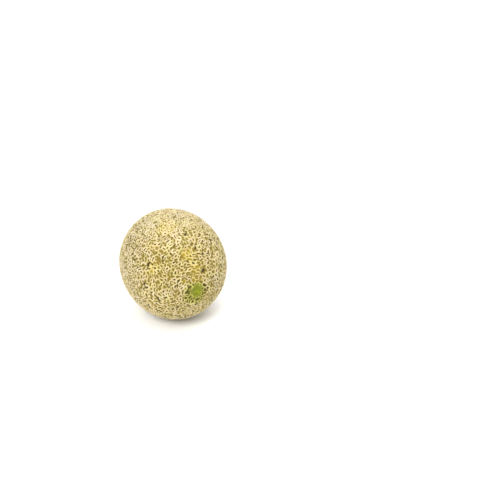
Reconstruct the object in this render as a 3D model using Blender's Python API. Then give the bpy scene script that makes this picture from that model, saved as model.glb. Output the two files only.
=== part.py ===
"""A whole netted melon, lying on its side and resting on a small flat spot.

Metres, +Z up. The origin is the middle of the flat spot. The stem end looks along -Y and dips a
little, so the fruit's long axis lies almost along Y.

The fruit is one grown piece, so it is one closed solid. Its raised net is laid out as cells on a
ball, and the ball is then carried onto the melon's own shape.
"""

import math
import random

import bmesh
import bpy
import numpy as np
from mathutils import Matrix, Vector

# The rind without its net, from the middle of the fruit
HALF_LENGTH = 0.0777
HALF_WIDTH = 0.0712
HALF_HEIGHT = 0.0742
FULLNESS = 2.12  # 2 is an ellipsoid, and more is blunter at both ends
LUMPS = (0.010, -0.008, 0.007)  # shares of the radius by which the fruit is out of true

# How the fruit lies: its stem end dips below level by this angle
STEM_DIP = math.radians(3.5)
FLAT_RADIUS = 0.0125  # of the spot that it rests on
SMOOTH_RADIUS = 0.024  # the net has worn away inside this distance of the spot's middle

# Stem scar: a smooth round dish in a shallow hollow
SCAR_RADIUS = 0.0070
SCAR_DEPTH = 0.0018
SCAR_EDGE = (0.70, 1.15)  # shares of its radius where the dish ends and the rind begins
HOLLOW_RADIUS = 0.026
HOLLOW_DEPTH = 0.0012

# Blossom end: a small flat button in a shallow dimple
BUTTON_RADIUS = 0.0050
DIMPLE_RADIUS = 0.016
DIMPLE_DEPTH = 0.0009

# The net. Its cords are further apart and higher than on a real fruit, to keep the solid light.
CELLS = 690
CORD_HALF_WIDTH = 0.0017  # from the middle of a cord to the floor of the cell beside it
CORD_HEIGHT = 0.0015
CORD_HEIGHT_SPREAD = 0.25  # share by which the height changes from crossing to crossing
SEED = 7

# Rings of cells round the scar and the button: how many, and how far from the middle
STEM_RINGS = ((1, 0.0), (12, 0.0114), (14, 0.0205))
BLOSSOM_RINGS = ((1, 0.0), (8, 0.0084))
RING_CLEARANCE = 0.004  # from the last ring to the nearest scattered cell

MEAN_RADIUS = (HALF_LENGTH + HALF_WIDTH + HALF_HEIGHT) / 3
STEM_POLE = Vector((0, 0, 1))


def clear_scene():
    for old in list(bpy.data.objects):
        bpy.data.objects.remove(old, do_unlink=True)


def smoothstep(low, high, value):
    t = min(max((value - low) / (high - low), 0.0), 1.0)
    return t * t * (3 - 2 * t)


def direction(polar, turn):
    """The unit vector at this angle from the stem pole, turned by this much round it."""
    ring = math.sin(polar)
    return Vector((ring * math.cos(turn), ring * math.sin(turn), math.cos(polar)))


def ring_of_seeds(count, distance, stem_end, offset):
    """Evenly spaced seeds round one end, at this distance along the skin."""
    polar = distance / MEAN_RADIUS
    if not stem_end:
        polar = math.pi - polar
    return [direction(polar, offset + math.tau * i / count) for i in range(count)]


def cell_seeds():
    """One seed in the middle of each cell: rings at the two ends, and scattered ones between."""
    seeds = []
    for number, (count, distance) in enumerate(STEM_RINGS):
        seeds += ring_of_seeds(count, distance, True, 0.4 * number)
    for number, (count, distance) in enumerate(BLOSSOM_RINGS):
        seeds += ring_of_seeds(count, distance, False, 0.3 * number)

    # Each new seed is the one of many random tries that is furthest from those already there.
    rng = np.random.default_rng(SEED)
    highest = math.cos((STEM_RINGS[-1][1] + RING_CLEARANCE) / MEAN_RADIUS)
    lowest = -math.cos((BLOSSOM_RINGS[-1][1] + RING_CLEARANCE) / MEAN_RADIUS)
    placed = np.array(seeds)
    while len(placed) < CELLS:
        tries = rng.normal(size=(20 + len(placed) // 3, 3))
        tries /= np.linalg.norm(tries, axis=1, keepdims=True)
        tries = tries[(tries[:, 2] < highest) & (tries[:, 2] > lowest)]
        closeness = (tries @ placed.T).max(axis=1)
        placed = np.vstack([placed, tries[closeness.argmin()]])
    return placed


def add_node(tree, kind, settings=(), **inputs):
    """A new node with these settings. Each named input, or _0 and _1 by place, is set or linked."""
    node = tree.nodes.new(kind)
    for name, value in dict(settings).items():
        setattr(node, name, value)
    for name, value in inputs.items():
        by_place = name.startswith("_")
        socket = node.inputs[int(name[1:]) if by_place else name.replace("_", " ")]
        if isinstance(value, bpy.types.NodeSocket):
            tree.links.new(value, socket)
        else:
            socket.default_value = value
    return node


def cell_tree():
    """Nodes that turn seeds into cells, and give each cell a floor of its own inside its edge."""
    tree = bpy.data.node_groups.new("net cells", "GeometryNodeTree")
    tree.interface.new_socket("Geometry", in_out="INPUT", socket_type="NodeSocketGeometry")
    tree.interface.new_socket("Geometry", in_out="OUTPUT", socket_type="NodeSocketGeometry")
    given = tree.nodes.new("NodeGroupInput")
    hull = add_node(tree, "GeometryNodeConvexHull", Geometry=given.outputs[0])
    cells = add_node(tree, "GeometryNodeDualMesh", Mesh=hull.outputs[0])
    floors = add_node(
        tree,
        "GeometryNodeExtrudeMesh",
        {"mode": "FACES"},
        Mesh=cells.outputs[0],
        Offset_Scale=0.0,
        Individual=True,
    )

    # A cell of this area is about as wide as a disc of the same area.
    area = add_node(tree, "GeometryNodeInputMeshFaceArea")
    squared = add_node(tree, "ShaderNodeMath", {"operation": "DIVIDE"}, _0=area.outputs[0], _1=math.pi)
    radius = add_node(tree, "ShaderNodeMath", {"operation": "SQRT"}, _0=squared.outputs[0])
    cord_share = add_node(
        tree,
        "ShaderNodeMath",
        {"operation": "DIVIDE"},
        _0=CORD_HALF_WIDTH / MEAN_RADIUS,
        _1=radius.outputs[0],
    )
    kept = add_node(tree, "ShaderNodeMath", {"operation": "SUBTRACT"}, _0=1.0, _1=cord_share.outputs[0])
    floor_share = add_node(
        tree, "ShaderNodeMath", {"operation": "MAXIMUM"}, _0=kept.outputs[0], _1=0.4
    )
    shrunk = add_node(
        tree,
        "GeometryNodeScaleElements",
        {"domain": "FACE"},
        Geometry=floors.outputs["Mesh"],
        Selection=floors.outputs["Top"],
        Scale=floor_share.outputs[0],
    )
    marked = add_node(
        tree,
        "GeometryNodeStoreNamedAttribute",
        {"data_type": "FLOAT", "domain": "POINT"},
        Geometry=shrunk.outputs["Geometry"],
        Name="on_floor",
        Value=floors.outputs["Top"],
    )
    result = tree.nodes.new("NodeGroupOutput")
    tree.links.new(marked.outputs["Geometry"], result.inputs[0])
    return tree


def netted_ball():
    """A mesh of cells on a ball of radius 1, with the point attribute on_floor."""
    seed_mesh = bpy.data.meshes.new("cell seeds")
    seed_mesh.from_pydata(cell_seeds().tolist(), [], [])
    holder = bpy.data.objects.new("cell seeds", seed_mesh)
    bpy.context.scene.collection.objects.link(holder)
    modifier = holder.modifiers.new("net cells", "NODES")
    modifier.node_group = cell_tree()
    graph = bpy.context.evaluated_depsgraph_get()
    ball = bpy.data.meshes.new_from_object(holder.evaluated_get(graph))
    bpy.data.objects.remove(holder, do_unlink=True)
    return ball


def skin_point(unit):
    """Where the rind is in this direction, in the fruit's own frame: stem pole along +Z."""
    ring = math.hypot(unit.x, unit.y)
    swell = (ring**FULLNESS + abs(unit.z) ** FULLNESS) ** (-1 / FULLNESS)
    lump = LUMPS[0] * unit.x * unit.y + LUMPS[1] * unit.y * unit.z + LUMPS[2] * unit.x * unit.z
    point = Vector((HALF_WIDTH * unit.x, HALF_HEIGHT * unit.y, HALF_LENGTH * unit.z))
    point *= swell * (1 + lump)

    from_stem = MEAN_RADIUS * unit.angle(STEM_POLE)
    from_blossom = MEAN_RADIUS * unit.angle(-STEM_POLE)
    sunk = HOLLOW_DEPTH * (1 - smoothstep(SCAR_RADIUS, HOLLOW_RADIUS, from_stem))
    inner, outer = (share * SCAR_RADIUS for share in SCAR_EDGE)
    sunk += SCAR_DEPTH * (1 - smoothstep(inner, outer, from_stem))
    sunk += DIMPLE_DEPTH * (1 - smoothstep(BUTTON_RADIUS, DIMPLE_RADIUS, from_blossom))
    return point * (1 - sunk / point.length)


def lying_down():
    """Turns the fruit's own frame into the object's: the stem pole goes to -Y and dips."""
    return Matrix.Rotation(math.pi / 2 + STEM_DIP, 3, "X")


def lowest_point(turn):
    """The lowest point of the bare rind after the turn, searched for underneath in small steps."""
    to_fruit = turn.transposed()
    best = turn @ skin_point(to_fruit @ Vector((0, 0, -1)))
    for across in range(-20, 21):
        for along in range(-20, 21):
            unit = (to_fruit @ Vector((0.01 * across, 0.01 * along, -1))).normalized()
            point = turn @ skin_point(unit)
            if point.z < best.z:
                best = point
    return best


def carry_onto_fruit(mesh):
    """Moves the ball's points onto the rind, and lifts the cords between the floors."""
    rng = random.Random(SEED)
    turn = lying_down()
    flat_depth = FLAT_RADIUS**2 / (2 * HALF_HEIGHT)
    ground = lowest_point(turn) + Vector((0, 0, flat_depth))
    on_floor = mesh.attributes["on_floor"].data
    for vertex, floor in zip(mesh.vertices, on_floor):
        skin = skin_point(vertex.co.normalized())
        placed = turn @ skin - ground
        height = 0.0
        if floor.value < 0.5:
            height = CORD_HEIGHT * (1 + rng.uniform(-1, 1) * CORD_HEIGHT_SPREAD)
        if placed.z < HALF_HEIGHT:
            height *= smoothstep(FLAT_RADIUS, SMOOTH_RADIUS, math.hypot(placed.x, placed.y))
        vertex.co = placed + turn @ skin.normalized() * height


def cut_flat_spot(mesh):
    """Takes off what is below the ground, and closes the cut with one flat face."""
    bm = bmesh.new()
    bm.from_mesh(mesh)
    everything = bm.verts[:] + bm.edges[:] + bm.faces[:]
    cut = bmesh.ops.bisect_plane(
        bm, geom=everything, plane_co=(0, 0, 0), plane_no=(0, 0, 1), clear_inner=True
    )
    rim = [item for item in cut["geom_cut"] if isinstance(item, bmesh.types.BMEdge)]
    bmesh.ops.contextual_create(bm, geom=rim)
    for edge in rim:
        edge.smooth = False
    bmesh.ops.recalc_face_normals(bm, faces=bm.faces[:])
    bm.to_mesh(mesh)
    bm.free()


def rind_material():
    """The fruit's mean colour, cords and skin together. The cork is dull and the skin a little waxy."""
    material = bpy.data.materials.new("netted rind")
    material.use_nodes = True
    shader = material.node_tree.nodes["Principled BSDF"]
    shader.inputs["Base Color"].default_value = (0.604, 0.491, 0.195, 1.0)
    shader.inputs["Roughness"].default_value = 0.72
    shader.inputs["Metallic"].default_value = 0.0
    return material


def build_melon():
    mesh = netted_ball()
    carry_onto_fruit(mesh)
    cut_flat_spot(mesh)
    mesh.attributes.remove(mesh.attributes["on_floor"])
    mesh.shade_smooth()
    mesh.name = "melon"
    mesh.materials.clear()
    mesh.materials.append(rind_material())
    melon = bpy.data.objects.new("melon", mesh)
    collection = bpy.data.collections.new("Cantaloupe melon")
    bpy.context.scene.collection.children.link(collection)
    collection.objects.link(melon)
    return melon


clear_scene()
build_melon()
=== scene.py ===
# %% [markdown]
# # A netted cantaloupe melon
#
# A cantaloupe's skin stops growing before the fruit does, so it cracks, and each crack heals with
# a raised cord of cork. The cords meet in an irregular net over a thin yellow-green skin. Where
# the stem came away there is a round green scar, and the far end keeps a small brown button.
#
# This lesson dresses the plain solid of the part in that rind. It scatters points over a ball,
# turns them into cells with Geometry Nodes, raises a cord along each border between two cells,
# and carries the whole net onto the fruit's own shape.

# %% Load the frame and keep its box
import math

import bmesh
import bpy
import numpy as np
from mathutils import Euler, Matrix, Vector
from mathutils.kdtree import KDTree


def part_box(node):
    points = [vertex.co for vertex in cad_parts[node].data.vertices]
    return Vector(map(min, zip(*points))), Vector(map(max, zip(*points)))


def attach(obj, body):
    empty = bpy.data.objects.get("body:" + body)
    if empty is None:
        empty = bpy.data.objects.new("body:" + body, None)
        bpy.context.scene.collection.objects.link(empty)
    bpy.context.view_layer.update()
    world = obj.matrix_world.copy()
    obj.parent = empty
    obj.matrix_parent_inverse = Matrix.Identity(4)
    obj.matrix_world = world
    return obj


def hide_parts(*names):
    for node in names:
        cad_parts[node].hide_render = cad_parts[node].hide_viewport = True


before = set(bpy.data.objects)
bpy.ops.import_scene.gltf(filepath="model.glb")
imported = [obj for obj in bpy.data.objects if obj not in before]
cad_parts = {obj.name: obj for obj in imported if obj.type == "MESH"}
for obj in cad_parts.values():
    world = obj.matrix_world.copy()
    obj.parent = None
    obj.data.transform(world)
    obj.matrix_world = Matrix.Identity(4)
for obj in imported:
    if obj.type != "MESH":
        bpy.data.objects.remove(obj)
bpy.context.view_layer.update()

MM = 0.001
low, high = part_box("melon")
print("solid melon, mm:", [round(side / MM, 1) for side in np.subtract(high, low)])

# %% [markdown]
# ## The fruit's shape
#
# The melon is a little longer than it is wide and a little taller than it is wide, with blunt
# ends. A superellipsoid is enough for that: one formula gives the skin's place in any direction.
# A few slow waves put it out of true, a shallow hollow with a round dish sinks the stem end, and
# a dimple sinks the blossom end. The numbers are the ones that the solid is made from.

# %% The same driving sizes as the solid
HALF_LENGTH = 77.7 * MM
HALF_WIDTH = 71.2 * MM
HALF_HEIGHT = 74.2 * MM
FULLNESS = 2.12
LUMPS = (0.010, -0.008, 0.007)
MEAN_RADIUS = (HALF_LENGTH + HALF_WIDTH + HALF_HEIGHT) / 3

SCAR_RADIUS = 7.0 * MM
SCAR_DEPTH = 1.8 * MM
SCAR_WALL = (0.70, 1.15)  # where the dish's wall starts and ends, as shares of its radius
HOLLOW_RADIUS = 26 * MM
HOLLOW_DEPTH = 1.2 * MM
BUTTON_RADIUS = 5.0 * MM
DIMPLE_RADIUS = 16 * MM
DIMPLE_DEPTH = 0.9 * MM

STEM_DIP = math.radians(3.5)
FLAT_RADIUS = 12.5 * MM


# %% The skin's place in any direction
def smoothstep(start, end, value):
    """0 up to start, 1 from end on, and a smooth rise between."""
    share = np.clip((value - start) / (end - start), 0, 1)
    return share * share * (3 - 2 * share)


def from_pole(units, pole):
    """How far along the skin each direction is from the stem pole (1) or the blossom pole (-1)."""
    return MEAN_RADIUS * np.arccos(np.clip(pole * units[:, 2], -1, 1))


def skin_points(units):
    """Where the skin is in these directions, with the stem pole along +Z."""
    x, y, z = units.T
    swell = (np.hypot(x, y) ** FULLNESS + np.abs(z) ** FULLNESS) ** (-1 / FULLNESS)
    lump = LUMPS[0] * x * y + LUMPS[1] * y * z + LUMPS[2] * x * z
    points = units * (HALF_WIDTH, HALF_HEIGHT, HALF_LENGTH) * (swell * (1 + lump))[:, None]
    stem = from_pole(units, 1)
    sunk = HOLLOW_DEPTH * (1 - smoothstep(SCAR_RADIUS, HOLLOW_RADIUS, stem))
    wall_start, wall_end = (share * SCAR_RADIUS for share in SCAR_WALL)
    sunk += SCAR_DEPTH * (1 - smoothstep(wall_start, wall_end, stem))
    sunk += DIMPLE_DEPTH * (1 - smoothstep(BUTTON_RADIUS, DIMPLE_RADIUS, from_pole(units, -1)))
    return points - sunk[:, None] * points / np.linalg.norm(points, axis=1, keepdims=True)


# %% How the fruit lies
# The turn lays the stem pole along -Y, dipping a little, as in the photograph.
LYING = np.array(Euler((math.pi / 2 + STEM_DIP, 0, 0)).to_matrix())


def lowest_skin_point():
    """The lowest point of the bare skin, searched for underneath in small steps."""
    steps = 0.01 * np.arange(-20, 21)
    across, along = (grid.ravel() for grid in np.meshgrid(steps, steps))
    down = np.column_stack([across, along, -np.ones_like(across)])
    down /= np.linalg.norm(down, axis=1, keepdims=True)
    points = skin_points(down @ LYING) @ LYING.T
    return points[points[:, 2].argmin()]


GROUND = lowest_skin_point() + (0, 0, FLAT_RADIUS**2 / (2 * HALF_HEIGHT))
print("middle of the fruit above its flat spot, mm:", round(-GROUND[2] / MM, 1))

# %% [markdown]
# ## The cells of the net
#
# Each cell of the net starts from seed points. Round the scar the cracks run in arcs, so the seeds
# there stand in rings that are closer together than the seeds along a ring. Elsewhere they are
# thrown at random, and one that falls too near another is thrown away. The gap allowed grows
# towards the stem end, where the real net is coarser, and drifts from place to place. Random
# throws with a least distance suit a natural net better than a grid, which would show its rows.

# %% Seeds for the cells
SEED = 11
FINE_GAP = 1.36 * MM  # between seeds at the blossom end
COARSE_GAP = 1.86 * MM  # between seeds nearer the stem
COARSE_END, FINE_START = 55 * MM, 100 * MM  # from the stem pole, with a smooth change between
DRIFTS = ((0.18, 4.6, 0.8), (0.14, 13.0, 2.2))  # of the gap: share, and turns and phase of the waves
THROWS = 150000
# Rings round each pole: distance from it in mm, and number of seeds
STEM_RINGS = ((0, 1), (2.2, 6), (4.5, 12), (6.9, 17), (9.8, 14), (13.4, 15), (18.2, 21), (21.8, 30))
BLOSSOM_RINGS = ((0, 1), (1.3, 5), (2.7, 10), (4.3, 15), (6.4, 14))
RING_JITTER = 0.36  # share of the distance between two seeds of a ring
RING_WOBBLE = 0.06  # share of a ring's distance from its pole
RING_MARGIN = 0.8  # of a gap, kept clear beyond the last ring
# Where the net is coarser or finer: distance from the stem pole and size in mm, bearing in
# degrees, and the change as a share of the gap
UNEVEN_PATCHES = (
    (84, 42, 155, 0.22),
    (75, 30, 184, 0.20),
    (50, 26, 128, -0.16),
    (34, 18, 163, -0.14),
    (26, 14, 200, -0.16),
    (48, 24, 60, -0.14),
    (34, 20, -50, 0.22),
    (25, 14, 145, 0.28),
)


def waves(units, turns, phase):
    """A slow drift over the ball, from -1 to 1, as the product of three waves."""
    x, y, z = (turns * units + phase).T
    return np.sin(x + 1.3 * np.sin(y)) * np.sin(y + 1.1 * np.sin(z)) * np.sin(z + 1.7 * np.sin(x))


def on_ball(distance, turn, pole=1):
    """Unit directions at these distances in mm from a pole, and these turns round it."""
    polar = distance * MM / MEAN_RADIUS
    x, y = np.sin(polar) * np.cos(turn), np.sin(polar) * np.sin(turn)
    return np.column_stack([x, y, pole * np.cos(polar)])


def away_from(units, distance, bearing):
    """How far each direction is from the one at this distance in mm and bearing in degrees."""
    place = on_ball(np.array([distance]), np.radians([bearing]))[0]
    return MEAN_RADIUS * np.arccos(np.clip(units @ place, -1, 1))


def with_patches(values, units, patches):
    """These values with round patches added, each strongest in its middle."""
    for distance, size, bearing, amount in patches:
        away = away_from(units, distance, bearing)
        values = values + amount * (1 - smoothstep(0, size * MM, away))
    return values


def ring_seeds(rng, rings, pole):
    """Seeds in rings round a pole, each a little out of its place."""
    seeds = []
    for distance, count in rings:
        step = math.tau / count
        turn = step * (np.arange(count) + RING_JITTER * rng.normal(size=count)) + rng.uniform(0, step)
        seeds.append(on_ball(distance * (1 + RING_WOBBLE * rng.normal(size=count)), turn, pole))
    return np.vstack(seeds)


def gaps_at(throws):
    """How far the next seed has to be, for a seed in each of these directions."""
    drift = sum(share * waves(throws, turns, phase) for share, turns, phase in DRIFTS)
    change = with_patches(drift, throws, UNEVEN_PATCHES)
    fine = smoothstep(COARSE_END, FINE_START, from_pole(throws, 1))
    return (COARSE_GAP + (FINE_GAP - COARSE_GAP) * fine) * (1 + change)


def scattered_seeds():
    """Unit directions of all seeds, those of the rings first, and how many are in rings."""
    rng = np.random.default_rng(SEED)
    rings = np.vstack([ring_seeds(rng, STEM_RINGS, 1), ring_seeds(rng, BLOSSOM_RINGS, -1)])
    throws = rng.normal(size=(THROWS, 3))
    throws /= np.linalg.norm(throws, axis=1, keepdims=True)
    outside = from_pole(throws, 1) > STEM_RINGS[-1][0] * MM + RING_MARGIN * COARSE_GAP
    outside &= from_pole(throws, -1) > BLOSSOM_RINGS[-1][0] * MM + RING_MARGIN * FINE_GAP
    throws = throws[outside]
    reach = gaps_at(throws) / MEAN_RADIUS
    tree = KDTree(len(throws))
    for index, throw in enumerate(throws):
        tree.insert(throw, index)
    tree.balance()

    # Each throw that is still free is kept, and rules out the later ones within its gap.
    free = np.ones(len(throws), bool)
    kept = []
    for index, throw in enumerate(throws):
        if free[index]:
            kept.append(index)
            free[[near for place, near, distance in tree.find_range(throw, reach[index])]] = False
    return np.vstack([rings, throws[kept]]), len(rings)


seeds, ringed = scattered_seeds()
print("seeds on the ball:", len(seeds), "of them in rings:", ringed)

# %% [markdown]
# ## Long cells from chains of seeds
#
# The cells of a real net are long rather than round. A convex hull over the seeds joins each to
# its neighbours, and shows which seeds can grow one cell together. They join in rounds, first in
# pairs and then in chains of up to four. Near the stem a pair prefers to lie in an arc round the
# scar, and a chain prefers to stay straight. All the seeds of a chain then gather in its middle.
# Noise alone can draw cells out too, but it folds the thin ones before they are long enough.

# %% Chains of seeds
# Rounds of joining: chance that a cell looks for a partner, and the most seeds it may have then
CHAINS = ((0.85, 2), (0.60, 4))
STRAIGHT = 1.5  # how much a chain prefers to grow along its own length
ARC_PULL = 1.8  # how much a chain next to the scar prefers to lie in an arc round it
ARCS_END = 44 * MM  # from the stem pole, where the last of that pull is gone
ARCS_WHOLE = 0.3  # share of that distance within which the pull is whole


def hull_over(seeds):
    """A closed mesh of triangles over the seeds, and which seeds each one is joined to."""
    hull = bmesh.new()
    for seed in seeds:
        hull.verts.new(seed)
    bmesh.ops.convex_hull(hull, input=hull.verts)
    hull.verts.index_update()
    beside = [{edge.other_vert(vert).index for edge in vert.link_edges} for vert in hull.verts]
    mesh = bpy.data.meshes.new("hull over the seeds")
    hull.to_mesh(mesh)
    hull.free()
    return mesh, beside


def gathering_places(seeds, beside):
    """The place where each seed gathers with its chain, which is the chain's middle."""
    rng = np.random.default_rng(SEED + 1)
    chains = {index: [index] for index in range(len(seeds))}
    along_arc = np.cross(seeds, (0, 0, 1))
    along_arc /= np.maximum(np.linalg.norm(along_arc, axis=1, keepdims=True), 1e-9)
    pull = 1 - smoothstep(ARCS_WHOLE * ARCS_END, ARCS_END, from_pole(seeds, 1))
    for chance, longest in CHAINS:
        for index in rng.permutation(list(chains)):
            if index < ringed or index not in chains or rng.uniform() > chance:
                continue
            # Two cells can join only where exactly two others touch both.
            partners = [
                p
                for p in sorted(beside[index])
                if p >= ringed
                and len(chains[index]) + len(chains[p]) <= longest
                and len(beside[index] & beside[p]) == 2
            ]
            if not partners:
                continue
            here = seeds[chains[index]].mean(axis=0)
            ways = np.array([seeds[chains[p]].mean(axis=0) - here for p in partners])
            ways /= np.linalg.norm(ways, axis=1, keepdims=True)
            liking = ARC_PULL * pull[index] * np.abs(ways @ along_arc[index])
            liking += rng.uniform(size=len(partners))
            if len(chains[index]) > 1:
                axis = seeds[chains[index][-1]] - seeds[chains[index][0]]
                liking += STRAIGHT * np.abs(ways @ axis) / np.linalg.norm(axis)
            best = np.argmax(liking)
            partner, long_way = partners[best], ways[best]
            joined = chains[index] + chains.pop(partner)
            chains[index] = sorted(joined, key=lambda seed: seeds[seed] @ long_way)
            for other in beside[partner] - {index}:
                beside[other] = beside[other] - {partner} | {index}
            beside[index] = (beside[index] | beside[partner]) - {index, partner}
    places = seeds.copy()
    for chain in chains.values():
        middle = seeds[chain].sum(axis=0)
        places[chain] = middle / np.linalg.norm(middle)
    return places


seed_mesh, beside = hull_over(seeds)
places = gathering_places(seeds, beside)
gather = seed_mesh.attributes.new("gather", "FLOAT_VECTOR", "POINT")
gather.data.foreach_set("vector", (places * MEAN_RADIUS).ravel())
loose = sum(not near for near in beside)
print("cells to grow:", len(np.unique(places, axis=0)) - loose, "and seeds outside the hull:", loose)

# %% [markdown]
# ## The net in Geometry Nodes
#
# The node tree starts from the hull over the seeds. The seeds of a chain move to one place and
# merge, and the dual mesh of what is left is the net: one face for each cell. A noise field then
# pushes the net about, which draws some cells out long and squeezes others. Each cell gets a tint
# of its own, and each meeting point of cords a strength, so that a few cords break off.


# %% One helper that adds a node
def add_node(tree, kind, settings=None, inputs=None, output=0):
    """Adds a node with these settings, links or sets its inputs, and returns one of its outputs."""
    node = tree.nodes.new(kind)
    for name, value in (settings or {}).items():
        setattr(node, name, value)
    for name, value in (inputs or {}).items():
        if isinstance(value, bpy.types.NodeSocket):
            tree.links.new(value, node.inputs[name])
        else:
            node.inputs[name].default_value = value
    return node.outputs[output] if len(node.outputs) else node


# %% The net's node tree
NET_SIZES = {
    "Push": 5.2 * MM,  # times the noise, which runs from -0.5 to 0.5
    "Push wavelength": 5.5 * MM,
}
BROKEN, WHOLE = 0.06, 0.24  # random numbers at which a meeting point is broken, and whole
SAME_PLACE = 0.01 * MM  # seeds closer than this merge
CALM_START, CALM_END = 0.93, 0.985  # how far up the ball, in radii, the push begins and ends to fade
CALM_PUSH = 0.3  # share of the push that is left at the scar


def add_noise(tree, wavelength, detail, output):
    """A noise field over the ball, with lumps of about this wavelength."""
    per_metre = add_node(tree, "ShaderNodeMath", {"operation": "DIVIDE"}, {0: 1.0, 1: wavelength})
    place = add_node(tree, "GeometryNodeInputPosition")
    inputs = {"Vector": place, "Scale": per_metre, "Detail": detail}
    return add_node(tree, "ShaderNodeTexNoise", inputs=inputs, output=output)


def net_tree():
    """The tree that turns the hull over the seeds into the net on a ball."""
    tree = bpy.data.node_groups.new("raised net", "GeometryNodeTree")
    tree.interface.new_socket("Seeds", in_out="INPUT", socket_type="NodeSocketGeometry")
    for name in NET_SIZES:
        tree.interface.new_socket(name, in_out="INPUT", socket_type="NodeSocketFloat")
    tree.interface.new_socket("Rind", in_out="INPUT", socket_type="NodeSocketMaterial")
    tree.interface.new_socket("Net", in_out="OUTPUT", socket_type="NodeSocketGeometry")
    given = add_node(tree, "NodeGroupInput").node.outputs

    # The cells, with a tint for each and a strength for each point where cords meet
    settings = {"data_type": "FLOAT_VECTOR"}
    gather = add_node(tree, "GeometryNodeInputNamedAttribute", settings, {"Name": "gather"})
    inputs = {"Geometry": given["Seeds"], "Position": gather}
    hull = add_node(tree, "GeometryNodeSetPosition", inputs=inputs)
    inputs = {"Geometry": hull, "Distance": SAME_PLACE}
    hull = add_node(tree, "GeometryNodeMergeByDistance", inputs=inputs)
    cells = add_node(tree, "GeometryNodeDualMesh", inputs={"Mesh": hull})
    number = {"data_type": "FLOAT"}
    chance = add_node(tree, "FunctionNodeRandomValue", number, {"Seed": SEED}, 1)
    settings = {"data_type": "FLOAT", "domain": "FACE"}
    inputs = {"Geometry": cells, "Name": "tint", "Value": chance}
    cells = add_node(tree, "GeometryNodeStoreNamedAttribute", settings, inputs)
    chance = add_node(tree, "FunctionNodeRandomValue", number, {"Seed": SEED + 1}, 1)
    inputs = {"Value": chance, "From Min": BROKEN, "From Max": WHOLE}
    strength = add_node(tree, "ShaderNodeMapRange", inputs=inputs)
    settings = {"data_type": "FLOAT", "domain": "POINT"}
    inputs = {"Geometry": cells, "Name": "strength", "Value": strength}
    cells = add_node(tree, "GeometryNodeStoreNamedAttribute", settings, inputs)

    # Push the net about, less near the scar, and put it back on the ball.
    lumps = add_noise(tree, given["Push wavelength"], 1.0, "Color")
    inputs = {0: lumps, 1: (0.5, 0.5, 0.5)}
    lumps = add_node(tree, "ShaderNodeVectorMath", {"operation": "SUBTRACT"}, inputs)
    place = add_node(tree, "GeometryNodeInputPosition")
    rise = add_node(tree, "ShaderNodeSeparateXYZ", inputs={0: place}, output="Z")
    inputs = {"Value": rise, "From Min": CALM_START * MEAN_RADIUS, "From Max": CALM_END * MEAN_RADIUS}
    inputs.update({"To Min": 1.0, "To Max": CALM_PUSH})
    calm = add_node(tree, "ShaderNodeMapRange", inputs=inputs)
    inputs = {0: calm, 1: given["Push"]}
    push = add_node(tree, "ShaderNodeMath", {"operation": "MULTIPLY"}, inputs)
    inputs = {0: lumps, "Scale": push}
    push = add_node(tree, "ShaderNodeVectorMath", {"operation": "SCALE"}, inputs)
    pushed = add_node(tree, "ShaderNodeVectorMath", {"operation": "ADD"}, {0: place, 1: push})
    unit = add_node(tree, "ShaderNodeVectorMath", {"operation": "NORMALIZE"}, {0: pushed})
    inputs = {0: unit, "Scale": MEAN_RADIUS}
    on_ball = add_node(tree, "ShaderNodeVectorMath", {"operation": "SCALE"}, inputs)
    inputs = {"Geometry": cells, "Position": on_ball}
    cells = add_node(tree, "GeometryNodeSetPosition", inputs=inputs)

    net = add_node(tree, "GeometryNodeRealizeInstances", inputs={"Geometry": cells})
    inputs = {"Geometry": net, "Material": given["Rind"]}
    net = add_node(tree, "GeometryNodeSetMaterial", inputs=inputs)
    add_node(tree, "NodeGroupOutput", inputs={"Net": net})
    return tree


# %% [markdown]
# ## The rind's material
#
# The rind is two natural surfaces side by side. The cords are cork: dead, dull, pale cream, with
# a fine grit. The skin between them is alive: thin, faintly waxy, and green, yellow or tan
# depending on how ripe that patch is. The net's own mesh carries a point attribute that says
# where a cord is, so one material can pass from one to the other along the cord's foot.


# %% Colours as hex values
def linear(hex_colour):
    """Turns an sRGB hex value into the linear RGBA that a shader takes."""
    channels = [int(hex_colour[i : i + 2], 16) / 255 for i in (1, 3, 5)]
    return [c / 12.92 if c <= 0.04045 else ((c + 0.055) / 1.055) ** 2.4 for c in channels] + [1.0]


# %% The rind, cork cords over waxy skin
SKIN = "#62561a"
# Patches over a colour: width in mm, where the noise starts and ends them, strength, and colour
SKIN_PATCHES = (
    (21, 0.50, 0.68, 0.8, "#70572a"),
    (14, 0.54, 0.72, 0.7, "#4e561a"),
    (1.5, 0.46, 0.66, 0.6, "#3e370e"),
    (0.8, 0.58, 0.72, 0.6, "#a8986a"),
)
SKIN_RIPE = "#a88c04"
# darker skin and painted shade together, for the deep pits of the net
SKIN_DARK_AND_PIT_SHADE = "#32240a"
DARK_TINT, PLAIN_TINT = 0.10, 0.60  # a cell of the first tint is darkest, one of the second isn't
DARKEST = 0.95
SHADED_FLANK = "#998a4c"  # the cork on a cord's sides, darker than the top as painted shade
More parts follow.
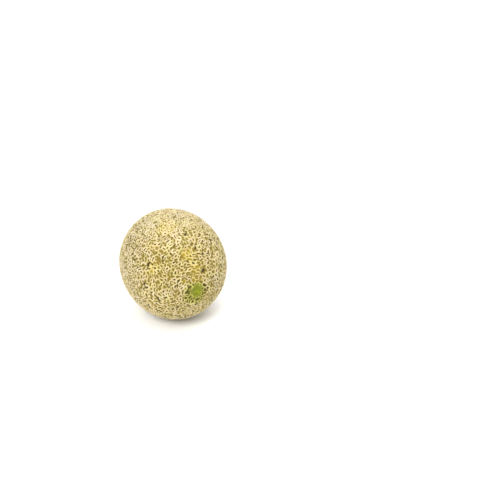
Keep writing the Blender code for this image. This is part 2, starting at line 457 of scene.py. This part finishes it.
# the cork of a cord, shown whole on its top, which is paler than the sides as a painted highlight
CORK = "#cbbc9e"
CORK_PATCHES = (
    (26, 0.45, 0.62, 0.6, "#d2bf8c"),
    (10, 0.50, 0.62, 0.7, "#c2c07e"),
    (7, 0.53, 0.66, 0.7, "#d8b89c"),
    (3.2, 0.46, 0.66, 0.75, "#ad9a70"),
    (1.1, 0.50, 0.70, 0.6, "#98865e"),
)
CORK_RIPE = "#d0bb4c"
RIPE_IN_CORK = 0.65  # how much of the ripe yellow reaches the cork
SCAR = "#7c8402"
SCAR_PATCHES = (
    (5.0, 0.45, 0.62, 0.8, "#919a0a"),
    (2.2, 0.48, 0.66, 0.7, "#5c6602"),
    (1.2, 0.52, 0.66, 0.35, "#a4aa4c"),
)
SCAR_CORK = "#949e30"
STEM_SKIN = "#565608"
# the sides of the cords near the scar, darker as painted shade
SHADED_STEM_FLANK = "#766f1c"
STEM_CORK = "#b8b054"
GROUND_CREAM = "#d6c794"
BUTTON = "#7c5f36"
BUTTON_PATCHES = ((1.6, 0.42, 0.66, 0.8, "#54401f"), (0.9, 0.5, 0.68, 0.6, "#a5875a"))
BUTTON_CORK = "#c0a478"

TINT_HELP = 0.14  # how far a cell's tint helps it into a patch or keeps it out
GRAIN = 1.1 * MM  # between the lumps that make a cord's edge uneven
GRAIN_SHARE = 0.7
CORK_EDGE = (0.40, 0.72)  # cord height with the grain, where the cork starts and where it is whole
TOP_HIGHLIGHT_EDGE = (0.62, 1.20)  # the same for the paler top of a cord, a painted highlight
SKIN_ROUGHNESS, CORK_ROUGHNESS = 0.48, 0.84
CORK_SHEEN = 0.24  # the soft light that loose grains catch at a glancing angle
GRIT = 0.6 * MM  # between the grains, drawn a little coarser than they are so that they show
GRIT_HEIGHT = 0.25 * MM
SKIN_GRIT = 0.2  # share of the grit that shows on the skin


def mixed(tree, share, colour, layer):
    """One colour passing into another by this share."""
    return add_node(tree, "ShaderNodeMix", {"data_type": "RGBA"}, {0: share, 6: colour, 7: layer}, 2)


def patched(tree, place, tint, colour, patches):
    """A colour with noise patches of others over it."""
    colour = linear(colour)
    for width_mm, start, end, strength, patch in patches:
        inputs = {"Vector": place, "Scale": 1 / (width_mm * MM), "Detail": 2.0}
        noise = add_node(tree, "ShaderNodeTexNoise", inputs=inputs)
        inputs = {0: tint, 1: TINT_HELP, 2: noise}
        noise = add_node(tree, "ShaderNodeMath", {"operation": "MULTIPLY_ADD"}, inputs)
        start += TINT_HELP / 2
        end += TINT_HELP / 2
        inputs = {"Value": noise, "From Min": start, "From Max": end, "To Max": strength}
        share = add_node(tree, "ShaderNodeMapRange", {"interpolation_type": "SMOOTHSTEP"}, inputs)
        colour = mixed(tree, share, colour, linear(patch))
    return colour


def netted_rind():
    """Cork on the cords and waxy skin between them, with the scar, the button and the pale spot."""
    material = bpy.data.materials.new("netted rind, cork over waxy skin")
    material.use_nodes = True
    tree = material.node_tree
    shader = tree.nodes["Principled BSDF"]
    place = add_node(tree, "ShaderNodeTexCoord", output="Object")
    marked = {
        name: add_node(tree, "ShaderNodeAttribute", {"attribute_name": name}, output="Fac")
        for name in ("cord", "tint", "ripe", "green", "ground", "scar", "button")
    }

    # Where the cork is, and the painted highlight on a cord's top, with edges made uneven by a grain
    inputs = {"Vector": place, "Scale": 1 / GRAIN, "Detail": 2.0}
    grain = add_node(tree, "ShaderNodeTexNoise", inputs=inputs)
    inputs = {0: grain, 1: GRAIN_SHARE, 2: marked["cord"]}
    uneven = add_node(tree, "ShaderNodeMath", {"operation": "MULTIPLY_ADD"}, inputs)
    smooth = {"interpolation_type": "SMOOTHSTEP"}
    inputs = {"Value": uneven, "From Min": CORK_EDGE[0], "From Max": CORK_EDGE[1]}
    cork = add_node(tree, "ShaderNodeMapRange", smooth, inputs)
    inputs = {"Value": uneven, "From Min": TOP_HIGHLIGHT_EDGE[0], "From Max": TOP_HIGHLIGHT_EDGE[1]}
    top = add_node(tree, "ShaderNodeMapRange", smooth, inputs)

    # The skin, greener round the scar, and darkest in the cells of lowest tint. That dark is partly
    # darker skin and partly painted shade in deep pits.
    inputs = {"Value": marked["tint"], "From Min": DARK_TINT, "From Max": PLAIN_TINT}
    inputs.update({"To Min": DARKEST, "To Max": 0.0})
    dark = add_node(tree, "ShaderNodeMapRange", inputs=inputs)
    colour = patched(tree, place, marked["tint"], SKIN, SKIN_PATCHES)
    colour = mixed(tree, marked["ripe"], colour, linear(SKIN_RIPE))
    colour = mixed(tree, marked["green"], colour, linear(STEM_SKIN))
    colour = mixed(tree, dark, colour, linear(SKIN_DARK_AND_PIT_SHADE))
    scar = patched(tree, place, marked["tint"], SCAR, SCAR_PATCHES)
    colour = mixed(tree, marked["scar"], colour, scar)
    button = patched(tree, place, marked["tint"], BUTTON, BUTTON_PATCHES)
    colour = mixed(tree, marked["button"], colour, button)

    # The cords over the skin, with painted shade on their sides, and the pale spot that lay on the
    # ground over both
    cords = patched(tree, place, marked["tint"], CORK, CORK_PATCHES)
    inputs = {0: marked["ripe"], 1: RIPE_IN_CORK}
    ripe_cork = add_node(tree, "ShaderNodeMath", {"operation": "MULTIPLY"}, inputs)
    cords = mixed(tree, ripe_cork, cords, linear(CORK_RIPE))
    cords = mixed(tree, marked["green"], cords, linear(STEM_CORK))
    cords = mixed(tree, marked["scar"], cords, linear(SCAR_CORK))
    cords = mixed(tree, marked["button"], cords, linear(BUTTON_CORK))
    # A cord's sides are darker as painted shade, and its top is paler as a painted highlight.
    shaded_sides = mixed(tree, marked["green"], linear(SHADED_FLANK), linear(SHADED_STEM_FLANK))
    cords = mixed(tree, top, shaded_sides, cords)
    colour = mixed(tree, cork, colour, cords)
    colour = mixed(tree, marked["ground"], colour, linear(GROUND_CREAM))
    tree.links.new(colour, shader.inputs["Base Color"])

    # Cork scatters light, and the skin has a low waxy shine. An IOR of 1.45 is usual for plant wax.
    inputs = {0: cork, 1: CORK_ROUGHNESS - SKIN_ROUGHNESS, 2: SKIN_ROUGHNESS}
    roughness = add_node(tree, "ShaderNodeMath", {"operation": "MULTIPLY_ADD"}, inputs)
    tree.links.new(roughness, shader.inputs["Roughness"])
    shader.inputs["IOR"].default_value = 1.45
    shader.inputs["Specular IOR Level"].default_value = 0.25
    inputs = {0: cork, 1: CORK_SHEEN}
    fuzz = add_node(tree, "ShaderNodeMath", {"operation": "MULTIPLY"}, inputs)
    tree.links.new(fuzz, shader.inputs["Sheen Weight"])
    shader.inputs["Sheen Roughness"].default_value = 0.5

    # The grit stands on the cork, and hardly shows on the skin.
    inputs = {"Vector": place, "Scale": 1 / GRIT, "Detail": 3.0}
    grit = add_node(tree, "ShaderNodeTexNoise", inputs=inputs)
    inputs = {0: cork, 1: 1 - SKIN_GRIT, 2: SKIN_GRIT}
    amount = add_node(tree, "ShaderNodeMath", {"operation": "MULTIPLY_ADD"}, inputs)
    inputs = {0: grit, 1: amount}
    height = add_node(tree, "ShaderNodeMath", {"operation": "MULTIPLY"}, inputs)
    inputs = {"Strength": 0.5, "Distance": GRIT_HEIGHT, "Height": height}
    tree.links.new(add_node(tree, "ShaderNodeBump", inputs=inputs), shader.inputs["Normal"])
    return material


rind = netted_rind()
print("made the material:", rind.name)

# %% [markdown]
# ## Growing the net
#
# The node tree runs once, and its result becomes a plain mesh on a ball. Each cell is then inset
# twice: the strips that this leaves round it are the shoulder and the flank of half a cord. Their
# width is a share of the cell's own reach. A fixed width would cross itself in the smallest cells.


# %% Run the tree
def grown_net():
    """The net on a ball, as a plain mesh."""
    holder = bpy.data.objects.new("cell seeds", seed_mesh)
    bpy.context.scene.collection.objects.link(holder)
    modifier = holder.modifiers.new("raised net", "NODES")
    modifier.node_group = net_tree()
    values = {**NET_SIZES, "Rind": rind}
    for socket in modifier.node_group.interface.items_tree:
        if socket.in_out == "INPUT" and socket.name in values:
            modifier[socket.identifier] = values[socket.name]
    graph = bpy.context.evaluated_depsgraph_get()
    mesh = bpy.data.meshes.new_from_object(holder.evaluated_get(graph))
    bpy.data.objects.remove(holder, do_unlink=True)
    return mesh


def read_points(mesh, name):
    """A number for each point of the mesh, from its attribute of this name."""
    values = np.empty(len(mesh.vertices), np.float32)
    mesh.attributes[name].data.foreach_get("value", values)
    return values.astype(float)


net = grown_net()
print("cells and edges in the net:", len(net.polygons), len(net.edges))

# %% The two strips round each cell
SHOULDER_SHARE = 0.375  # of the mean reach to the nearer half of a cell's corners
FLANK_SHARE = 0.44  # of what is left inside the shoulder
WIDEST, NARROWEST = 1.3, 0.7  # times these beside a cell of tint 0, and beside one of tint 1
SHORTEST = 0.3  # a corner keeps at least this share of its reach
WIDTH_DRIFT = (0.16, 9.0, 0.3)  # of the width: share, and turns and phase of the waves
# Where cords are wider or thinner: distance from the stem pole and size in mm, bearing in
# degrees, and the change as a share of the width
WIDTH_PATCHES = (
    (112, 62, 95, 0.80),
    (14, 13, -75, -0.50),
    (13, 12, 0, -0.50),
    (16, 13, -140, -0.50),
    (25, 12, 133, -0.45),
    (15, 11, 85, -0.40),
    (33, 20, -48, -0.40),
    (64, 28, 40, 0.38),
    (106, 34, 168, 0.22),
    (18, 9, 155, 0.70),
    (40, 22, 120, -0.12),
)


def width_changes(floors):
    """How much wider or thinner than usual the cords round each of these faces are."""
    middles = np.array([face.calc_center_median() for face in floors])
    middles /= np.linalg.norm(middles, axis=1, keepdims=True)
    share, turns, phase = WIDTH_DRIFT
    return with_patches(1 + share * waves(middles, turns, phase), middles, WIDTH_PATCHES)


def inset_floors(net, floors, changes, width_share, share_across):
    """Leaves a strip round each of these faces and marks how far across the cord it ends."""
    tint = net.faces.layers.float["tint"]
    across = net.verts.layers.float["across"]
    bmesh.ops.inset_individual(net, faces=floors, thickness=0)
    for face, change in zip(floors, changes):
        middle = face.calc_center_median()
        arms = [vert.co - middle for vert in face.verts]
        reaches = sorted(arm.length for arm in arms)
        narrow = reaches[: (len(reaches) + 1) // 2]
        width = width_share * sum(narrow) / len(narrow)
        width *= change * (WIDEST + (NARROWEST - WIDEST) * face[tint])
        for vert, arm in zip(face.verts, arms):
            vert.co = middle + arm * max(1 - width / arm.length, SHORTEST)
            vert[across] = share_across


def leave_strips(mesh):
    """Insets every cell twice, for the shoulder and the flank of the cords round it."""
    net = bmesh.new()
    net.from_mesh(mesh)
    net.verts.layers.float.new("across")
    floors = list(net.faces)
    changes = width_changes(floors)
    inset_floors(net, floors, changes, SHOULDER_SHARE, 0.5)
    inset_floors(net, floors, changes, FLANK_SHARE, 1.0)
    net.to_mesh(mesh)
    net.free()


leave_strips(net)
triangles = sum(len(face.vertices) - 2 for face in net.polygons)
print("faces in the net:", len(net.polygons), "or as triangles:", triangles)

# %% [markdown]
# ## From the ball to the fruit
#
# What is left is to move each point from the ball to the fruit. A point's height above the skin
# comes from how far it is across its cord: highest on the middle line, less at the shoulder, and
# nothing at the foot. Besides the cords, a low ridge of cork runs round the scar, another fills
# the outermost crack there, and a third stands round the button. Formulas do this well, since
# every height depends only on where the point is.

# %% Where each point of the net is
LOW_NET_BEARING = math.radians(-125)  # the side of the scar where the net is lowest and greenest

co = np.empty(3 * len(net.vertices), np.float32)
net.vertices.foreach_get("co", co)
units = co.reshape(-1, 3).astype(float)
units /= np.linalg.norm(units, axis=1, keepdims=True)
stem, blossom = from_pole(units, 1), from_pole(units, -1)
bearing = np.arctan2(units[:, 1], units[:, 0])  # round the stem pole, a quarter turn is up
low_side = 0.5 + 0.5 * np.cos(bearing - LOW_NET_BEARING)

skin = skin_points(units)
outward = (skin / np.linalg.norm(skin, axis=1, keepdims=True)) @ LYING.T
placed = skin @ LYING.T - GROUND
under = placed[:, 2] < HALF_HEIGHT
from_spot = np.where(under, np.hypot(placed[:, 0], placed[:, 1]), np.inf)
print("points to place:", len(units))

# %% How high the cords stand
CORD_HEIGHT = 1.3 * MM
CORD_SWAY = 0.12  # share by which the height comes and goes along a cord
WORN_RADIUS = 24 * MM  # the net has worn away inside this distance of the flat spot's middle
SCAR_EDGE = (3 * MM, 10 * MM)  # from the stem pole, where cords start and where they are whole
BUTTON_EDGE = (3.5 * MM, 5.5 * MM)  # the same from the blossom pole
LOW_NET_RADIUS = 18 * MM  # inside it the cords round the scar are lower
LOW_NET_SHARE, LOW_SIDE_SHARE = 0.05, 0.20  # of the height, lost all round and more on the low side
# Another patch of low cords: distance and size in mm, bearing in degrees, share that is lost
LOW_CORDS = (33, 28, -50, 0.5)

across = read_points(net, "across")
worn = smoothstep(FLAT_RADIUS, WORN_RADIUS, from_spot)
ends = smoothstep(*SCAR_EDGE, stem) * smoothstep(*BUTTON_EDGE, blossom)
inside = 1 - smoothstep(0.85 * LOW_NET_RADIUS, LOW_NET_RADIUS, stem)
low_near_scar = 1 - (LOW_NET_SHARE + LOW_SIDE_SHARE * low_side) * inside
sway = 1 - CORD_SWAY + CORD_SWAY * waves(units, 28.0, 1.1)
cord = (1 - across**2) * read_points(net, "strength") * worn * ends * low_near_scar * sway
distance, size, low_bearing, share = LOW_CORDS
away = away_from(units, distance, low_bearing)
low_cords = 1 - share * (1 - smoothstep(0.3 * size * MM, size * MM, away))

# %% Ridges round the scar and the button
# Distance from the pole, half width and height in mm. Then how far that distance wanders and how
# far the height sways, each as a share with the turns and the phase of its waves
COLLAR = ((8.6, 1.0, 0.50), (0.14, 22.0, 2.0), (0.25, 34.0, 0.9))
ARC = ((20.0, 1.1, 0.70), (0.08, 22.0, 0.5), (0.30, 26.0, 1.9))  # in the outermost crack
BUTTON_RIM = ((4.0, 0.8, 0.5), (0.10, 60.0, 1.4), (0.20, 90.0, 0.2))
ARC_BEARING = math.radians(-60)  # the middle of the outermost crack's run
ARC_ENDS = (-0.35, 0.25)  # cosine of the turn from there, where the crack ends and where it is whole
COLLAR_FADE, ARC_FADE = 0.6, 0.8  # share of a ridge that is lost on the floor of a cell
SCAR_TALL = 0.25  # the scar is taller than the mean by this share, and narrower by it


def ridge(distance, sizes, wander, sway):
    """The height of a round ridge over the points, from their distance to its middle."""
    radius, half_width, height = sizes
    share, turns, phase = wander
    off = (distance / MM - radius * (1 + share * waves(units, turns, phase))) / half_width
    share, turns, phase = sway
    return height * MM * np.exp(-(off**2)) * (1 - share + share * waves(units, turns, phase))


tall = 1 - SCAR_TALL * np.cos(2 * bearing)
collar = ridge(stem / tall, *COLLAR) * (1 - COLLAR_FADE * across)
arc = ridge(stem, *ARC) * smoothstep(*ARC_ENDS, np.cos(bearing - ARC_BEARING))
arc *= 1 - ARC_FADE * across
rim = ridge(blossom, *BUTTON_RIM)
print("highest ridge, mm:", round((collar + arc + rim).max() / MM, 2))

# %% Carry it onto the fruit
BUTTON_DEPTH = 0.5 * MM
BUTTON_WALL = (0.6 * MM, 3.6 * MM)  # from the blossom pole, where its wall starts and ends
SCAR_ROUGHNESS = 0.35 * MM
ROUGH_EDGE = (6 * MM, 9 * MM)  # from the stem pole, where the roughness starts to fade and is gone
ROUGH_BUTTON = 1.6  # times less far from the blossom pole

sunk = BUTTON_DEPTH * (1 - smoothstep(*BUTTON_WALL, blossom))
rough = np.random.default_rng(SEED + 2).uniform(-1, 1, len(units))
rough *= 1 - smoothstep(*ROUGH_EDGE, np.minimum(stem, ROUGH_BUTTON * blossom))
height = CORD_HEIGHT * cord * low_cords + collar + arc + rim - sunk + SCAR_ROUGHNESS * rough
placed += outward * height[:, None]
placed[:, 2] = np.maximum(placed[:, 2], 0)  # the flat spot
net.vertices.foreach_set("co", placed.astype(np.float32).ravel())

# %% [markdown]
# ## What lies where
#
# The material has to know where a cord is, where the skin has ripened to yellow, and how far the
# green of the scar, the brown of the button and the pale spot that lay on the ground reach. Each
# of these is a number on every point of the net, 0 for none of it and 1 for all. Painted textures
# could hold the same, but numbers on the points need no unwrapping and follow the cords exactly.

# %% Tell the material what lies where
RIPE_SIDE = 0.36  # how yellow the stem half is between its patches
RIPE_END = (60 * MM, 125 * MM)  # from the stem pole, where that starts to fade and is gone
RIPE_WANDER = (0.3, 14.0)  # of a patch's edge: share of its size, and turns of the waves
RIPE_FADE = 1.25  # of its size, the distance from its middle at which a patch is gone
# Ripe yellow patches: distance from the stem pole and size in mm, bearing in degrees, strength
RIPE_PATCHES = (
    (51, 17, 96, 1.0),
    (33, 15, 88, 1.0),
    (20, 11, 95, 0.9),
    (25, 11, 133, 0.8),
    (15, 11, 82, 1.0),
    (69, 15, 147, 1.0),
    (97, 20, 104, 0.6),
    (88, 15, 129, 0.6),
    (70, 22, 30, 0.5),
    (110, 24, -20, 0.6),
    (140, 30, -130, 0.6),
    (112, 22, -160, 0.35),
    (50, 13, -165, 0.55),
    (70, 13, -178, 0.4),
    (76, 14, 120, 0.5),
)
SCAR_REACH = 10.4 * MM  # of the bright green, further up and down than sideways
GREEN_REACH = 15.5 * MM  # of the duller green round it
GREEN_SIDE = 9.5 * MM  # and so much further on the low side
# How far the edges of both wander, with turns and phase of the waves
SCAR_WANDER = (1.8 * MM, 26.0, 0.6)
GREEN_WANDER = (2.5 * MM, 12.0, 0.3)
BUTTON_REACH = (4.6 * MM, 5.6 * MM)  # of the brown, from the blossom pole
RIDGE_CORK = 0.5 * MM  # a ridge of this height is cork all over

ripe = RIPE_SIDE * (1 - smoothstep(*RIPE_END, stem))
for distance, size, patch_bearing, strength in RIPE_PATCHES:
    edge = RIPE_WANDER[0] * size * MM * waves(units, RIPE_WANDER[1], 0.1 * distance)
    away = away_from(units, distance, patch_bearing) + edge
    ripe = np.maximum(ripe, strength * (1 - smoothstep(0, RIPE_FADE * size * MM, away)))

ripe *= 0.82 + 0.25 * waves(units, 50.0, 0.7)  # it comes and goes from cell to cell
wander, turns, phase = GREEN_WANDER
green_reach = GREEN_REACH + GREEN_SIDE * low_side + wander * waves(units, turns, phase)
wander, turns, phase = SCAR_WANDER
scar_reach = SCAR_REACH * tall**0.7 + wander * waves(units, turns, phase)
marks = {
    "cord": np.clip(cord + (collar + arc + rim) / RIDGE_CORK, 0, 1),
    "ripe": ripe,
    "green": 0.95 * (1 - smoothstep(0.65 * green_reach, green_reach, stem)),
    "ground": 0.8 * (1 - smoothstep(0.6 * WORN_RADIUS, 1.5 * WORN_RADIUS, from_spot)),
    "scar": 1 - smoothstep(0.7 * scar_reach, 1.1 * scar_reach, stem),
    "button": 1 - smoothstep(*BUTTON_REACH, blossom),
}
for name, values in marks.items():
    attribute = net.attributes.new(name, "FLOAT", "POINT")
    attribute.data.foreach_set("value", values.astype(np.float32))
    print("mean of the mark", name + ":", round(float(values.mean()), 3))
for name in ("across", "strength"):
    net.attributes.remove(net.attributes[name])
net.shade_smooth()

# %% Put it in place of the plain solid
melon = bpy.data.objects.new("netted_melon", net)
bpy.context.scene.collection.objects.link(melon)
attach(melon, "root")
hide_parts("melon")
print("netted melon, mm:", [round(side / MM, 1) for side in melon.dimensions])

# %% [markdown]
# ## Floor, light and camera
#
# The photograph was taken on white, under a broad soft light from above, with a faint shadow
# just under the fruit and to its right. A matt white floor, a white surround that is brightest
# overhead, and two broad lamps give that. The stronger lamp stands above and to the left.


# %% Floor and surround
def matt_paint(name, colour):
    """A flat studio paint, which gives no highlight."""
    material = bpy.data.materials.new(name)
    material.use_nodes = True
    shader = material.node_tree.nodes["Principled BSDF"]
    shader.inputs["Base Color"].default_value = linear(colour)
    shader.inputs["Roughness"].default_value = 0.9
    return material


FLOOR_SIDE = 12.0  # metres
corner = FLOOR_SIDE / 2
floor_mesh = bpy.data.meshes.new("floor")
floor_mesh.from_pydata(
    [(-corner, -corner, 0), (corner, -corner, 0), (corner, corner, 0), (-corner, corner, 0)],
    [],
    [(0, 1, 2, 3)],
)
floor_mesh.materials.append(matt_paint("matt white studio floor", "#fbfbfb"))
floor = bpy.data.objects.new("floor", floor_mesh)
bpy.context.scene.collection.objects.link(floor)

# The surround is brighter overhead than at eye level, as under a large softbox. Seen directly it
# is plain white, like the paper behind the fruit.
LEVEL_LIGHT = 0.46  # at eye level
OVERHEAD_LIGHT = 1.0  # added to that straight overhead
world = bpy.data.worlds.new("white studio")
world.use_nodes = True
sky = world.node_tree
toward = add_node(sky, "ShaderNodeTexCoord", output="Generated")
rise = add_node(sky, "ShaderNodeSeparateXYZ", inputs={0: toward}, output="Z")
clear = add_node(sky, "ShaderNodeMath", {"operation": "MAXIMUM"}, {0: rise, 1: 0.0})
inputs = {0: clear, 1: OVERHEAD_LIGHT, 2: LEVEL_LIGHT}
bright = add_node(sky, "ShaderNodeMath", {"operation": "MULTIPLY_ADD"}, inputs)
seen = add_node(sky, "ShaderNodeLightPath", output="Is Camera Ray")
bright = add_node(sky, "ShaderNodeMix", {"data_type": "FLOAT"}, {0: seen, 2: bright, 3: 1.0}, 0)
background = sky.nodes["Background"]
background.inputs["Color"].default_value = linear("#ffffff")
sky.links.new(bright, background.inputs["Strength"])
bpy.context.scene.world = world
bpy.context.scene.view_settings.view_transform = "Standard"


# %% Lamps
def soft_lamp(name, place, side, power):
    """A square lamp of this side in metres and this power in watts, aimed at the fruit."""
    data = bpy.data.lights.new(name, "AREA")
    data.size = side
    data.energy = power
    lamp = bpy.data.objects.new(name, data)
    lamp.location = place
    aim = Vector((0, 0, HALF_HEIGHT)) - lamp.location
    lamp.rotation_euler = aim.to_track_quat("-Z", "Y").to_euler()
    bpy.context.scene.collection.objects.link(lamp)


soft_lamp("key lamp", Vector((-1.3, -0.95, 1.6)), 1.0, 30)
soft_lamp("top lamp", Vector((0.8, -0.1, 2.1)), 1.4, 17)

# %% [markdown]
# ## The camera
#
# The melon stands where it stands in the photograph, left of the middle and a little below it.
# A lens of 50 mm on a 36 mm sensor gives the slight perspective of a photograph that was taken
# from about a metre away. The camera looks down by about 27 degrees, and its distance follows
# from how wide the fruit looks.

# %% Camera
PHOTO_SIDE = 500  # pixels
SEEN_X, SEEN_Y = 173.0, 263.5  # middle of the melon in the photograph
LENS = 50.0  # mm
SENSOR = 36.0  # mm
LOOKS_DOWN = math.radians(27.0)
TURN = math.radians(-29.3)  # how far the camera stands to the left of the stem end
DISTANCE = 0.967  # metres, along the line that it looks

focal = PHOTO_SIDE * LENS / SENSOR
camera_data = bpy.data.cameras.new("camera")
camera_data.lens = LENS
camera_data.sensor_width = SENSOR
camera = bpy.data.objects.new("camera", camera_data)
camera.rotation_euler = (math.pi / 2 - LOOKS_DOWN, 0, TURN)
right, up, back = camera.rotation_euler.to_matrix().transposed()
right_share = (SEEN_X - PHOTO_SIDE / 2) / focal
up_share = (PHOTO_SIDE / 2 - SEEN_Y) / focal
middle = Vector(-GROUND)
camera.location = middle + DISTANCE * (back - right_share * right - up_share * up)
bpy.context.scene.collection.objects.link(camera)
bpy.context.scene.camera = camera
